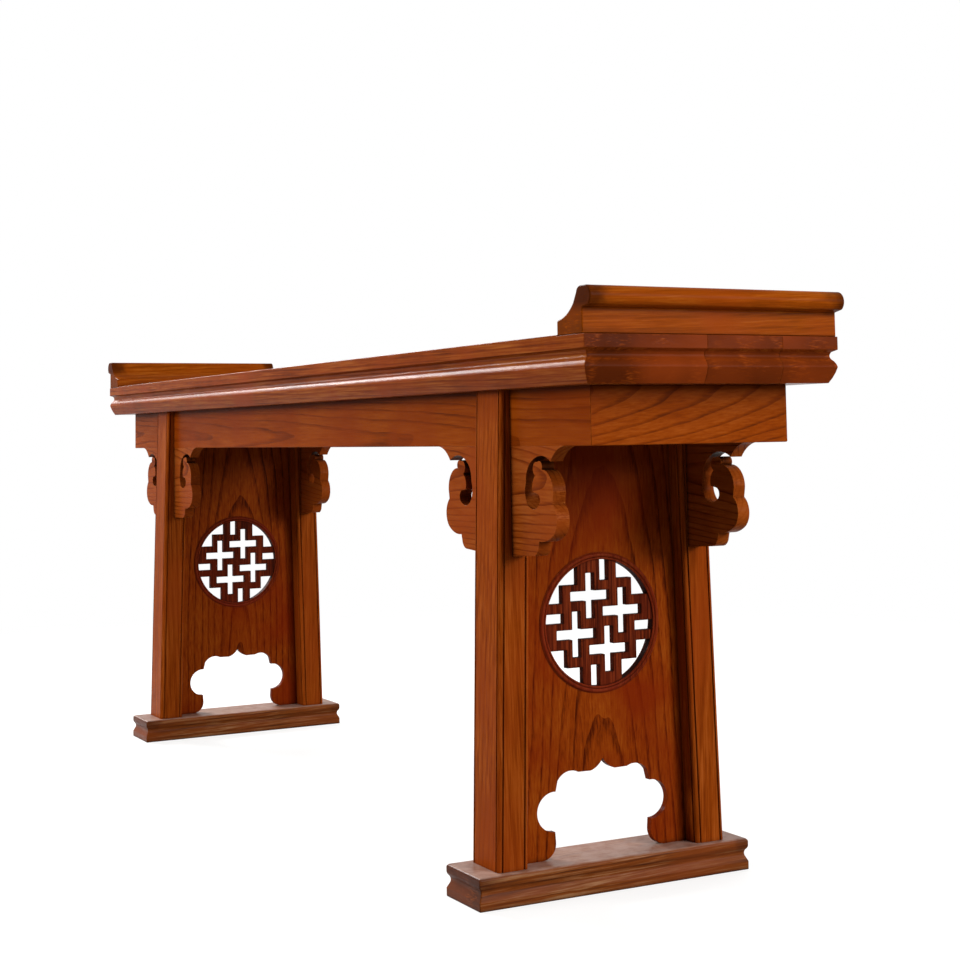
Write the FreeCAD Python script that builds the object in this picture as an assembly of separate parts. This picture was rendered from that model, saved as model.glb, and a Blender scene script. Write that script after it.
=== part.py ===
import FreeCAD, Part
import math
import os

# A Chinese altar table with everted end flanges, recessed legs and openwork end panels.
# Millimetres. X runs along the table, the front faces -Y, and Z = 0 is the floor.

V = FreeCAD.Vector

# Clearances and cutting aids
fit = 0.2
overrun = 20.0

# Top: three thick boards, edge to edge, with a moulded edge all round
top_height = 860.0
top_length = 2440.0
top_depth = 450.0
top_thickness = 72.0
front_board_width = 210.0
middle_board_width = 136.0

# Moulded edge of the top, from the upper band down
band_height = 21.5
band_step = 6.5
band_step_drop = 3.0
edge_cove_depth = 2.5
edge_cove_height = 12.0
edge_peak_inset = 0.5
edge_peak_drop = 11.5
edge_round = 1.2
edge_foot_inset = 11.0

# Loose tongues in the two long board joints
tongue_width = 30.0
tongue_thickness = 14.0
tongue_stop = 90.0

# Battens let into the underside of the top, one in the middle and one inside each leg pair
batten_from_leg = 404.0
batten_width = 46.0
batten_depth = 34.0
batten_housing = 12.0
batten_flare = 4.0
batten_end_gap = 6.0

# Everted flanges, housed in the ends of the top and keyed
flange_housing = 1.5
flange_height = 66.0
flange_run = 75.0
flange_overhang = 19.0
flange_fascia_inset = 4.0
flange_key_width = 16.0
flange_key_depth = 12.0
flange_key_stop = 34.0
flange_key_from_end = 36.0

# Aprons
apron_from_end = 67.5
apron_from_edge = 49.0
apron_thickness = 22.0
apron_height = 88.0
apron_edge_chamfer = 1.5

# Cloud spandrels, one board through each leg
spandrel_reach = 187.0
spandrel_drop = 171.0
spandrel_tongue_thickness = 8.0
spandrel_tongue_height = 9.0

# Legs
leg_from_end = 356.0
leg_from_edge = 33.5
leg_lean = 18.5
leg_width = 88.0
leg_depth = 53.5
leg_bead = 6.0
leg_quirk_width = 3.0
leg_quirk_depth = 2.5
leg_tenon_width = 47.0
leg_tenon_depth = 27.0
leg_tenon_length = 30.0
top_tenon_width = 47.0
top_tenon_depth = 9.0
top_tenon_length = 28.0

# Sledge feet
foot_past_leg = 39.0
foot_width = 115.0
foot_height = 50.0
foot_moulding = 5.0

# End panels, with a round fret and a cloud opening
panel_thickness = 12.0
panel_offset = 6.0
panel_groove = 8.0
fret_centre_height = 413.5
fret_open_radius = 101.0
fret_rim = 6.0
fret_arm_width = 15.5
fret_arm_length = 36.5
fret_bar = 11.0
fret_turn_bar = 16.0
ring_width = 11.5
ring_height = 3.5
opening_half_width = 122.0
opening_height = 148.0

# Rails that hold the legs of each pair apart, under the top
rail_height = 50.0
rail_thickness = 34.0
rail_groove = 8.0
rail_tenon_length = 8.0
rail_tenon_height = 30.0
rail_tenon_thickness = 16.0

# Worked out from the sizes above
top_underside = top_height - top_thickness
apron_bottom = top_underside - apron_height
spandrel_bottom = apron_bottom - spandrel_drop
apron_end = top_length / 2 - apron_from_end
apron_face = top_depth / 2 - apron_from_edge
apron_back = apron_face - apron_thickness
leg_x = top_length / 2 - leg_from_end
leg_length = top_underside - foot_height
panel_x = leg_x + panel_offset
panel_top = top_underside - rail_height + rail_groove
flange_seat = top_height - flange_housing


def is_arc(step):
    """True where a step of a path is an arc, given by its middle and its end."""
    return isinstance(step[0], tuple)


def step_end(step):
    return step[1] if is_arc(step) else step


def path_edges(path, place):
    """Edges of a closed outline: a plain point is a straight run, a pair is an arc."""
    edges = []
    here = path[0]
    for step in path[1:]:
        end = step_end(step)
        start_point = place(*here)
        end_point = place(*end)
        if is_arc(step):
            edges.append(Part.Arc(start_point, place(*step[0]), end_point).toShape())
        elif (end_point - start_point).Length > fit / 100:
            edges.append(Part.LineSegment(start_point, end_point).toShape())
        here = end
    first = place(*path[0])
    last = place(*here)
    if (first - last).Length > fit / 100:
        edges.append(Part.LineSegment(last, first).toShape())
    return edges


def path_face(path, place):
    return Part.Face(Part.Wire(path_edges(path, place)))


def each_point(path, change):
    """The path with every point changed, the middles of its arcs too."""
    return [tuple(change(*point) for point in step) if is_arc(step) else change(*step)
            for step in path]


def shifted(path, du, dv):
    """The path moved by du and dv."""
    return each_point(path, lambda u, v: (u + du, v + dv))


def from_shares(shares, u_size, v_size):
    """A path in real sizes from one given in shares of two sizes, or mirrored with a size of -1."""
    return each_point(shares, lambda u, v: (u_size * u, v_size * v))


def from_end(path):
    """The path from its end to its start."""
    ends = [step_end(step) for step in path]
    back = [ends[-1]]
    for index in range(len(path) - 1, 0, -1):
        step = path[index]
        back.append((step[0], ends[index - 1]) if is_arc(step) else ends[index - 1])
    return back


def run_back(path):
    """The path from its end to its start, mirrored to the other side of u = 0."""
    return from_end(from_shares(path, -1, 1))


def four_corners(corner):
    """Closed outline from the path of one corner, mirrored into all four quarters."""
    path = []
    for u_sign, v_sign, backwards in ((1, 1, False), (1, -1, True), (-1, -1, False), (-1, 1, True)):
        turn = from_shares(corner, u_sign, v_sign)
        path += from_end(turn) if backwards else turn
    return path


def along_y(path, half_y):
    """A solid with its outline in X and Z, from -half_y to half_y."""
    face = path_face(path, lambda u, v: V(u, -half_y, v))
    return face.extrude(V(0, 2 * half_y, 0))


def along_x(path, half_x):
    """A solid with its outline in Y and Z, from -half_x to half_x."""
    face = path_face(path, lambda u, v: V(-half_x, u, v))
    return face.extrude(V(2 * half_x, 0, 0))


def box(low, high):
    """A box between two corners."""
    size = V(*high) - V(*low)
    return Part.makeBox(size.x, size.y, size.z, V(*low))


def moulded_block(half_x, half_y, side):
    """A block whose four sides have one moulding, mitred at the corners."""
    shape_x = shifted(side, half_x, 0)
    shape_y = shifted(side, half_y, 0)
    block = along_y(shape_x + run_back(shape_x), half_y)
    return block.common(along_x(shape_y + run_back(shape_y), half_x))


def turned(shape):
    """The shape turned half round about the Z axis."""
    copy = shape.copy()
    copy.rotate(V(0, 0, 0), V(0, 0, 1), 180)
    return copy


def mirrored_x(shape):
    return shape.mirror(V(0, 0, 0), V(1, 0, 0))


def mirrored_y(shape):
    return shape.mirror(V(0, 0, 0), V(0, 1, 0))


def one_solid(shape):
    """The single solid of a result, with flush faces merged."""
    clean = shape.removeSplitter()
    return clean.Solids[0] if len(clean.Solids) == 1 else clean


# Top

def edge_moulding():
    """Side of the top: a flat band, a step, a cove, and a nose rounded above and below."""
    step_level = top_height - band_height
    cove_top = step_level - band_step_drop
    cove_bottom = cove_top - edge_cove_height
    peak = cove_bottom - edge_peak_drop
    cove_middle = (-band_step - edge_cove_depth, (cove_top + cove_bottom) / 2)
    nose_middle = ((-band_step - edge_peak_inset) / 2 + edge_round, (cove_bottom + peak) / 2)
    foot_middle = ((-edge_peak_inset - edge_foot_inset) / 2 + edge_round,
                   (peak + top_underside) / 2)
    return [
        (0, top_height),
        (0, step_level),
        (-band_step, cove_top),
        (cove_middle, (-band_step, cove_bottom)),
        (nose_middle, (-edge_peak_inset, peak)),
        (foot_middle, (-edge_foot_inset, top_underside)),
    ]


def flange_housing_cutter(sign):
    """Shallow seat for a flange across an end of the top."""
    inner = top_length / 2 - flange_run
    outer = top_length / 2 + overrun
    reach = top_depth / 2 + overrun
    low_x, high_x = sorted((sign * inner, sign * outer))
    return box((low_x, -reach, flange_seat), (high_x, reach, top_height + overrun))


def flange_key(sign, gap):
    """Key under a flange that sits in a groove across the top boards."""
    middle = sign * (top_length / 2 - flange_key_from_end)
    half = flange_key_width / 2 + gap
    reach = top_depth / 2 - flange_key_stop + gap
    floor = top_height - flange_key_depth - gap
    return box((middle - half, -reach, floor), (middle + half, reach, top_height + gap))


def batten(place_x, gap):
    """Dovetailed batten across the underside of the top."""
    half = batten_width / 2
    reach = apron_back - batten_end_gap + gap
    throat = half - batten_flare + gap
    level = top_underside + batten_housing + gap
    outline = [
        (place_x - half, top_underside - batten_depth + batten_housing),
        (place_x + half, top_underside - batten_depth + batten_housing),
        (place_x + half, top_underside),
        (place_x + throat, top_underside),
        (place_x + half + gap, level),
        (place_x - half - gap, level),
        (place_x - throat, top_underside),
        (place_x - half, top_underside),
    ]
    return along_y(outline, reach)


def batten_places():
    outer = leg_x - batten_from_leg
    return [-outer, 0, outer]


def long_tongue(seam, gap):
    """Loose tongue in the joint between two boards."""
    half_x = top_length / 2 - tongue_stop + gap
    half_y = tongue_width / 2 + gap
    half_z = tongue_thickness / 2 + gap
    middle = top_height - top_thickness / 2
    return box((-half_x, seam - half_y, middle - half_z), (half_x, seam + half_y, middle + half_z))


def top_seams():
    front_seam = -top_depth / 2 + front_board_width
    return [front_seam, front_seam + middle_board_width]


def top_boards():
    """The moulded slab, cut for flanges, battens, tongues and leg tenons, as three boards."""
    slab = moulded_block(top_length / 2, top_depth / 2, edge_moulding())
    seams = top_seams()
    cuts = [flange_key(sign, fit) for sign in (-1, 1)]
    cuts += [flange_housing_cutter(sign) for sign in (-1, 1)]
    cuts += [batten(place, fit) for place in batten_places()]
    cuts += [long_tongue(seam, fit) for seam in seams]
    for x_sign in (-1, 1):
        for y_sign in (-1, 1):
            cuts.append(leg_top_tenon(x_sign, y_sign, fit))
    slab = slab.cut(cuts)
    limits = [-top_depth / 2 - overrun] + seams + [top_depth / 2 + overrun]
    boards = []
    for low, high in zip(limits, limits[1:]):
        half = top_length / 2 + overrun
        slice_box = box((-half, low, top_underside - overrun), (half, high, top_height + overrun))
        boards.append(one_solid(slab.common(slice_box)))
    return boards


# Flange outline in shares of its whole width and height, from the inner toe outwards
flange_inner_shares = [
    (0.0, 0.26),
    (0.025, 0.315),
    ((0.29, 0.425), (0.49, 0.65)),
    (0.585, 0.875),
    ((0.62, 0.96), (0.70, 1.0)),
    (0.87, 1.0),
    ((1.0, 0.80), (0.94, 0.585)),
]
flange_neck_share = 0.53


def flange(sign):
    """Flange that rises from a low toe to a rounded nose that overhangs the end."""
    width = flange_run + flange_overhang
    toe = top_length / 2 - flange_run
    fascia = top_length / 2 - flange_fascia_inset
    path = [(toe, flange_seat)]
    path += shifted(from_shares(flange_inner_shares, width, flange_height), toe, top_height)
    path.append((fascia, top_height + flange_height * flange_neck_share))
    path.append((fascia, flange_seat))
    body = one_solid(along_y(path, top_depth / 2).fuse(flange_key(1, 0)))
    return body if sign > 0 else one_solid(mirrored_x(body))


# Aprons

def long_apron(sign):
    """Front or rear apron, mitred to the end aprons and grooved for the spandrels."""
    inner = apron_end - apron_thickness
    outline = [(-apron_end, -apron_face), (apron_end, -apron_face), (inner, -apron_back),
               (-inner, -apron_back)]
    face = path_face(outline, lambda u, v: V(u, v, apron_bottom))
    body = face.extrude(V(0, 0, apron_height))
    body = body.cut(apron_edge_cutter())
    for x_sign in (-1, 1):
        body = body.cut(spandrel_tongue(x_sign, fit))
    body = one_solid(body)
    return body if sign < 0 else one_solid(mirrored_y(body))


def apron_edge_cutter():
    """Wedge that takes the lower outer arris off the front apron, clear of the spandrels."""
    outline = [(-apron_face - fit, apron_bottom - fit),
               (-apron_face + apron_edge_chamfer, apron_bottom - fit),
               (-apron_face - fit, apron_bottom + apron_edge_chamfer)]
    wedge = along_x(outline, apron_end + overrun)
    half_top = spandrel_reach * spandrel_shares[0][0]
    for x_sign in (-1, 1):
        middle = x_sign * leg_x
        keep = box((middle - half_top, -apron_face - overrun, apron_bottom - overrun),
                   (middle + half_top, -apron_face + overrun, apron_bottom + overrun))
        wedge = wedge.cut(keep)
    return wedge


def end_apron(sign):
    """Apron across an end of the table, mitred to the long aprons."""
    inner = apron_end - apron_thickness
    outline = [(apron_end, -apron_face), (apron_end, apron_face), (inner, apron_back),
               (inner, -apron_back)]
    face = path_face(outline, lambda u, v: V(u, v, apron_bottom))
    body = one_solid(face.extrude(V(0, 0, apron_height)))
    return body if sign > 0 else one_solid(mirrored_x(body))


# Spandrel outline, half of it, in shares of its reach from the leg's middle and of its drop
# below the apron: the arch over the slit, the slit with its round eye, the curled tip,
# the upper and the lower lobe, and the stepped bottom
spandrel_shares = [
    (1.120, 0.0),
    ((0.978, -0.057), (0.903, -0.135)),
    ((0.759, -0.086), (0.600, -0.130)),
    ((0.517, -0.212), (0.491, -0.330)),
    ((0.478, -0.440), (0.522, -0.530)),
    ((0.600, -0.562), (0.690, -0.535)),
    ((0.722, -0.478), (0.679, -0.422)),
    (0.602, -0.408),
    ((0.600, -0.332), (0.650, -0.262)),
    ((0.614, -0.186), (0.689, -0.142)),
    ((0.756, -0.154), (0.757, -0.207)),
    ((0.892, -0.272), (0.940, -0.415)),
    (0.925, -0.507),
    ((0.992, -0.650), (0.937, -0.775)),
    ((0.843, -0.826), (0.699, -0.841)),
    (0.678, -0.920),
    ((0.647, -0.958), (0.590, -0.976)),
    (0.220, -1.0),
]


def spandrel_tongue(x_sign, gap):
    """Tongue on a spandrel's top edge, in a groove under the apron."""
    middle = x_sign * leg_x
    half = spandrel_reach - spandrel_tongue_height + gap
    centre = -(apron_face + apron_back) / 2
    half_y = spandrel_tongue_thickness / 2 + gap
    return box((middle - half, centre - half_y, apron_bottom - gap),
               (middle + half, centre + half_y, apron_bottom + spandrel_tongue_height + gap))


def spandrel(x_sign, y_sign):
    """Board with a cloud head each side of the leg that clamps it."""
    half = from_shares(spandrel_shares, spandrel_reach, spandrel_drop)
    path = half + run_back(half)
    face = path_face(path, lambda u, v: V(leg_x + u, -apron_face, apron_bottom + v))
    body = face.extrude(V(0, apron_thickness, 0)).fuse(spandrel_tongue(1, 0))
    body = one_solid(body)
    if x_sign < 0:
        body = one_solid(mirrored_x(body))
    return body if y_sign < 0 else one_solid(mirrored_y(body))


# Legs

def leg_outer_y(height):
    """Distance of a leg's outer face from the middle plane at a height."""
    share = (top_underside - height) / leg_length
    return top_depth / 2 - leg_from_edge + leg_lean * share


def leg_top_tenon(x_sign, y_sign, gap):
    """Tenon on a leg's outer cheek, in the top board."""
    cheek = (leg_outer_y(top_underside) + apron_face) / 2
    middle = x_sign * leg_x
    half_x = top_tenon_width / 2 + gap
    half_y = top_tenon_depth / 2 + gap
    return box((middle - half_x, y_sign * cheek - half_y, top_underside - gap),
               (middle + half_x, y_sign * cheek + half_y, top_underside + top_tenon_length + gap))


def leg_foot_tenon(x_sign, y_sign, gap):
    """Tenon on a leg's lower end, in the foot."""
    middle_y = y_sign * (leg_outer_y(foot_height) - leg_depth / 2)
    middle_x = x_sign * leg_x
    half_x = leg_tenon_width / 2 + gap
    half_y = leg_tenon_depth / 2 + gap
    return box((middle_x - half_x, middle_y - half_y, foot_height - leg_tenon_length - gap),
               (middle_x + half_x, middle_y + half_y, foot_height + gap))


def leg_section():
    """Rectangle with a round bead at each corner, set off by a quirk on both faces."""
    half_x = leg_width / 2
    half_y = leg_depth / 2
    bead_x = half_x - leg_bead
    bead_y = half_y - leg_bead
    round_out = leg_bead * math.sqrt(1 / 2)
    return four_corners([
        (bead_x - leg_quirk_width, half_y),
        (bead_x - leg_quirk_width, half_y - leg_quirk_depth),
        (bead_x, half_y - leg_quirk_depth),
        (bead_x, half_y),
        ((bead_x + round_out, bead_y + round_out), (half_x, bead_y)),
        (half_x - leg_quirk_depth, bead_y),
        (half_x - leg_quirk_depth, bead_y - leg_quirk_width),
        (half_x, bead_y - leg_quirk_width),
    ])


def leg(x_sign, y_sign):
    """Leaning leg, slotted at the top for the apron and spandrel, grooved for the panel."""
    middle_y = leg_outer_y(foot_height) - leg_depth / 2
    face = path_face(leg_section(), lambda u, v: V(leg_x + u, -middle_y + v, foot_height))
    body = face.extrude(V(0, leg_lean, leg_length))
    slot = box((leg_x - leg_width, -apron_face - fit, spandrel_bottom),
               (leg_x + leg_width, -apron_back + fit, top_underside + overrun))
    body = body.cut([slot, panel_blank(fit), rail_blank(fit)])
    body = body.fuse([leg_top_tenon(1, -1, 0), leg_foot_tenon(1, -1, 0)])
    body = one_solid(body)
    if x_sign < 0:
        body = one_solid(mirrored_x(body))
    return body if y_sign < 0 else one_solid(mirrored_y(body))


# Feet: outline of a foot's side in shares of the moulding's depth and of the foot's height,
# from the floor up: a plain band, a slope up to the waist, a hollow and a tall upper band
foot_side_shares = [
    (0.0, 0.0),
    (0.0, 0.27),
    (-0.85, 0.44),
    ((-1.0, 0.53), (-0.66, 0.64)),
    ((-0.20, 0.70), (0.0, 0.79)),
    (0.0, 0.94),
    (-0.60, 1.0),
]


def foot(sign):
    """Sledge foot with one moulding on all four sides."""
    side = from_shares(foot_side_shares, foot_moulding, foot_height)
    body = moulded_block(foot_width / 2, leg_outer_y(foot_height) + foot_past_leg, side)
    body.translate(V(leg_x, 0, 0))
    body = body.cut([leg_foot_tenon(1, -1, fit), leg_foot_tenon(1, 1, fit), panel_with_opening(fit)])
    body = one_solid(body)
    return body if sign > 0 else one_solid(mirrored_x(body))


# End panels

# Half of the cloud opening, in shares of its half width and its height above the foot,
# from the pointed top, over the shoulder and the side lobe, to the flared bottom
opening_shares = [
    (0.0, 1.0),
    ((0.070, 0.930), (0.185, 0.880)),
    (0.375, 0.883),
    ((0.565, 0.895), (0.690, 0.815)),
    (0.722, 0.705),
    ((1.0, 0.490), (0.738, 0.285)),
    (0.728, 0.175),
    ((0.765, 0.070), (0.925, 0.0)),
]


def opening_cutter():
    """Prism of the cloud opening, down through the panel's lower edge."""
    half = from_shares(opening_shares, opening_half_width, opening_height)
    flare = step_end(half[-1])[0]
    path = [(-flare, -foot_height)] + run_back(half) + half[1:] + [(flare, -foot_height)]
    face = path_face(path, lambda u, v: V(leg_x - leg_width, u, foot_height + v))
    return face.extrude(V(2 * leg_width, 0, 0))


def panel_outline(gap):
    """The panel between its grooves, wider at the foot than at the rail."""
    low = foot_height - panel_groove - gap
    high = panel_top + gap
    seat = panel_groove + gap
    half_low = leg_outer_y(low) - leg_depth + seat
    half_high = leg_outer_y(high) - leg_depth + seat
    return [(-half_low, low), (half_low, low), (half_high, high), (-half_high, high)]


def panel_blank(gap):
    """The panel without its openings."""
    face = path_face(panel_outline(gap), lambda u, v: V(panel_x - panel_thickness / 2 - gap, u, v))
    return face.extrude(V(panel_thickness + 2 * gap, 0, 0))


def panel_with_opening(gap):
    return panel_blank(gap).cut(opening_cutter())


def fret_cylinder(radius):
    start = V(leg_x - leg_width, 0, fret_centre_height)
    return Part.makeCylinder(radius, 2 * leg_width, start, V(1, 0, 0))


def end_panel(sign):
    """Upright board with a round hole for the fret and a cloud opening above the foot."""
    body = panel_with_opening(0).cut(fret_cylinder(fret_open_radius + fret_rim + fit))
    body = one_solid(body)
    return body if sign > 0 else one_solid(turned(body))


def fret_hole_path(middle_y, middle_z):
    """Outline of one hole of the fret, about the fret's middle.

    Inside the open circle it is a cross. A hole with its middle outside the circle is a single
    arm where it lies nearly square to the fret, and elsewhere all that lies beyond a bar's turn.
    """
    half = fret_arm_width / 2
    arm = fret_arm_length
    if math.hypot(middle_y, middle_z) < fret_open_radius:
        path = four_corners([(half, arm), (half, half), (arm, half)])
    elif abs(middle_z) < fret_arm_width:
        path = [(-arm, -half), (arm, -half), (arm, half), (-arm, half)]
    elif abs(middle_y) < fret_arm_width:
        path = [(-half, -arm), (half, -arm), (half, arm), (-half, arm)]
    else:
        path = [(-arm, -half), (-half, -half), (-half, -arm), (arm, -arm), (arm, arm), (-arm, arm)]
    outward = from_shares(path, math.copysign(1, middle_y), math.copysign(1, middle_z))
    return shifted(outward, middle_y, middle_z)


def fret_places():
    """Middles of the holes of the fret's pinwheel pattern that reach the open circle."""
    across = fret_arm_length + fret_arm_width / 2 + fret_turn_bar
    down = fret_arm_width + fret_bar
    reach = fret_open_radius + fret_arm_width
    turns = math.ceil(reach / math.hypot(across, down)) + 1
    places = []
    for first in range(-turns, turns):
        for second in range(-turns, turns):
            u = (first + 0.5) * across + (second + 0.5) * down
            v = -(first + 0.5) * down + (second + 0.5) * across
            if math.hypot(u, v) < reach:
                places.append((u, v))
    return places


def fret(sign):
    """Disc pierced so that narrow bars are left, which turn round the crosses."""
    face_x = panel_x - panel_thickness / 2
    disc = Part.makeCylinder(fret_open_radius + fret_rim, panel_thickness,
                             V(face_x, 0, fret_centre_height), V(1, 0, 0))
    window = fret_cylinder(fret_open_radius)
    holes = []
    for u, v in fret_places():
        path = shifted(fret_hole_path(u, v), 0, fret_centre_height)
        face = path_face(path, lambda y, z: V(leg_x - leg_width, y, z))
        holes.append(face.extrude(V(2 * leg_width, 0, 0)).common(window))
    body = one_solid(disc.cut(holes))
    return body if sign > 0 else one_solid(turned(body))


# Fret ring section in shares of its width and height, from the open edge outwards
ring_shares = [
    (0.0, 0.0),
    (0.0, 0.45),
    ((0.16, 0.80), (0.34, 0.50)),
    ((0.62, 1.0), (0.90, 0.45)),
    (1.0, 0.20),
    (1.0, 0.0),
]


def fret_ring(sign, outward):
    """Moulded ring that covers the joint of fret and panel on one face."""
    path = from_shares(ring_shares, ring_width, ring_height)
    start_x = panel_x + outward * panel_thickness / 2
    face = path_face(path, lambda u, v: V(start_x + outward * v, 0,
                                          fret_centre_height + fret_open_radius + u))
    ring = one_solid(face.revolve(V(start_x, 0, fret_centre_height), V(1, 0, 0), 360))
    return ring if sign > 0 else one_solid(turned(ring))


# Rails

def rail_blank(gap):
    """Rail with its two tenons, seated on the legs' inner faces."""
    bottom = top_underside - rail_height
    half_low = leg_outer_y(bottom) - leg_depth
    half_high = leg_outer_y(top_underside) - leg_depth
    face = path_face([(-half_low, bottom), (half_low, bottom), (half_high, top_underside),
                      (-half_high, top_underside)],
                     lambda u, v: V(leg_x - rail_thickness / 2, u, v))
    body = face.extrude(V(rail_thickness, 0, 0))
    middle = top_underside - rail_height / 2
    half_z = rail_tenon_height / 2 + gap
    half_x = rail_tenon_thickness / 2 + gap
    reach = half_high + rail_tenon_length + gap
    tenons = box((leg_x - half_x, -reach, middle - half_z), (leg_x + half_x, reach, middle + half_z))
    return body.fuse(tenons)


def top_rail(sign):
    body = one_solid(rail_blank(0).cut(panel_blank(fit)))
    return body if sign > 0 else one_solid(mirrored_x(body))


def all_pieces():
    """Every piece of the table with its name."""
    pieces = {}
    boards = top_boards()
    for name, board in zip(("top_front_board", "top_middle_board", "top_rear_board"), boards):
        pieces[name] = board
    for name, seam in zip(("front_joint_tongue", "rear_joint_tongue"), top_seams()):
        pieces[name] = long_tongue(seam, 0)
    for name, place in zip(("left_batten", "middle_batten", "right_batten"), batten_places()):
        pieces[name] = one_solid(batten(place, 0))
    pieces["front_apron"] = long_apron(-1)
    pieces["rear_apron"] = long_apron(1)
    for side, sign in (("left", -1), ("right", 1)):
        pieces[side + "_flange"] = flange(sign)
        pieces[side + "_end_apron"] = end_apron(sign)
        pieces[side + "_foot"] = foot(sign)
        pieces[side + "_end_panel"] = end_panel(sign)
        pieces[side + "_fret"] = fret(sign)
        pieces[side + "_fret_outer_ring"] = fret_ring(sign, 1)
        pieces[side + "_fret_inner_ring"] = fret_ring(sign, -1)
        pieces[side + "_top_rail"] = top_rail(sign)
        for face, y_sign in (("front", -1), ("rear", 1)):
            pieces[face + "_" + side + "_leg"] = leg(sign, y_sign)
            pieces[face + "_" + side + "_spandrel"] = spandrel(sign, y_sign)
    return pieces


os.makedirs("parts", exist_ok=True)
for name, piece in all_pieces().items():
    solids = piece.Solids
    print(name, len(solids), piece.isValid(), round(piece.Volume))
    piece.exportStep("parts/" + name + ".step")
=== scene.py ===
"""Chinese altar table in red-brown lacquered elm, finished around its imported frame.

Every board of the table keeps the place and size that the frame gives it. Here its arrises are
worn round, and it is grained, lacquered and lit as the real table is.
"""

import logging
import math
from collections.abc import Iterable, Mapping
from dataclasses import dataclass
from enum import Enum
from typing import Any

import bmesh
import bpy
import numpy as np
from mathutils import Matrix, Vector


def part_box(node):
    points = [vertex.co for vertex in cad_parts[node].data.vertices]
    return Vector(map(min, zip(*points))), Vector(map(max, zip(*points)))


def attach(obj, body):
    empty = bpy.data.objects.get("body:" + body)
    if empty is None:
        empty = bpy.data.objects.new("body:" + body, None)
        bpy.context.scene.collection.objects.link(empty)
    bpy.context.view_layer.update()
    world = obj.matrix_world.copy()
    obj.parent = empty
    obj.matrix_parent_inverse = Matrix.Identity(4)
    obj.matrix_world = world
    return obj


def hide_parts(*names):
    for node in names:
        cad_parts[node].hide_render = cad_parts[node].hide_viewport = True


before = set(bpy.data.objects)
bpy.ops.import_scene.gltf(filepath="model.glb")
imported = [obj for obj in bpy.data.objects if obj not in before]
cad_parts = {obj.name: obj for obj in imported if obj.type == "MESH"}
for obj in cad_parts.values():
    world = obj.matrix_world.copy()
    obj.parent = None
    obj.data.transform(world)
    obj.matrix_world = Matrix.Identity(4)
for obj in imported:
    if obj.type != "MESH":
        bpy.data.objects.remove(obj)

log = logging.getLogger("altar_table")

MM = 0.001

# Distance between the rings of a wave texture whose scale is 1, in metres.
WAVE_PERIOD = 2 * math.pi / 20

# Distance between the marks of each pattern.
DRIFT_MM = 70.0  # sway of the growth rings
PATCH_MM = 45.0  # lighter and darker patches of wood
DASH_MM = 2.2  # dashes of end grain, drawn coarser than real pores of 0.3 mm, which wouldn't show
SPOT_MM = 38.0  # groups of those dashes
EMBER_MM = 160.0  # redder drifts of the stain
BLOTCH_MM = 30.0  # uneven edge of the handled dark
DUST_MM = 26.0  # patches of dust
CHIP_MM = 9.0  # chips along worn arrises
PLANING_MM = 45.0  # ripples that the plane left

# How many times longer than wide a pattern is drawn.
RINGS_DRAWN = 7.0
PORES_DRAWN = 38.0
DASHES_DRAWN = 6.0

# How far the pores are cut below the face, and how the gloss differs from the finish's own
# roughness in the pores and between them.
PORE_DEPTH_MM = 0.25
PORE_ROUGHER = 0.07
FACE_SMOOTHER = 0.05

# Handled dark: how far blotches move its edge, and how far past the board's end it then begins
# and is full.
GRIP_EDGE_MM = 60.0
GRIP_FROM_MM = -14.0
GRIP_TO_MM = 24.0

# Rays that look for an arris or a corner.
CORNER_SAMPLES = 8

# Colours of what has settled on the lacquer, of the painted shade in its hollows, and of the
# studio.
HAND_DARK = "#2C0D03"
# Painted shade, with some grime, in joints, hollows, recesses and under overhangs.
PAINTED_SHADE_AND_GRIME = "#1E0A04"
HOUSE_DUST = "#A5877A"
FLOOR_PAINT = "#858583"
WHITE = "#FFFFFF"

# Three numbers, along or about X, Y and Z.
Triple = tuple[float, float, float]


def linear(colour: str) -> tuple[float, float, float, float]:
    """Linear colour of an sRGB hex value.

    Each channel up to 0.04045 is divided by 12.92, and above that it is shifted by 0.055,
    divided by 1.055 and raised to the power 2.4.

    Args:
        colour: Six hex digits after a hash sign.

    Returns:
        Red, green, blue and an alpha of 1.
    """
    channels = np.array([int(colour[i:i + 2], 16) for i in (1, 3, 5)]) / 255
    curved = ((channels + 0.055) / 1.055) ** 2.4
    red, green, blue = np.where(channels <= 0.04045, channels / 12.92, curved)
    return float(red), float(green), float(blue), 1.0


def add_node(
    tree: bpy.types.NodeTree,
    kind: str,
    settings: Mapping[str | int, Any] | None = None,
    links: Mapping[str | int, tuple[bpy.types.Node, str | int]] | None = None,
) -> bpy.types.Node:
    """Add a shader node, set it up and link what feeds it.

    Args:
        tree: Node tree that gets the node.
        kind: The node's type without its ShaderNode prefix.
        settings: Value for each property or input. "stops" is the list of (place, colour) pairs
            of a colour ramp.
        links: Source node and output for each input.

    Returns:
        The new node.
    """
    node = tree.nodes.new("ShaderNode" + kind)
    for key, value in (settings or {}).items():
        if key == "stops":
            stops = node.color_ramp.elements
            while len(stops) < len(value):
                stops.new(0.5)
            for stop, (place, colour) in zip(stops, value):
                stop.position = place
                stop.color = colour
        elif isinstance(key, str) and hasattr(node, key):
            setattr(node, key, value)
        else:
            node.inputs[key].default_value = value
    for key, (source, output) in (links or {}).items():
        tree.links.new(source.outputs[output], node.inputs[key])
    return node


class Side(Enum):
    """End of the table, seen from the front."""

    LEFT = "left"
    RIGHT = "right"

    @property
    def sign(self) -> int:
        """Direction along X from the middle of the table to this end."""
        return 1 if self is Side.RIGHT else -1


class Face(Enum):
    """Long side of the table."""

    FRONT = "front"
    REAR = "rear"

    @property
    def sign(self) -> int:
        """Direction along Y from the middle of the table to this side."""
        return 1 if self is Face.REAR else -1


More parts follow.
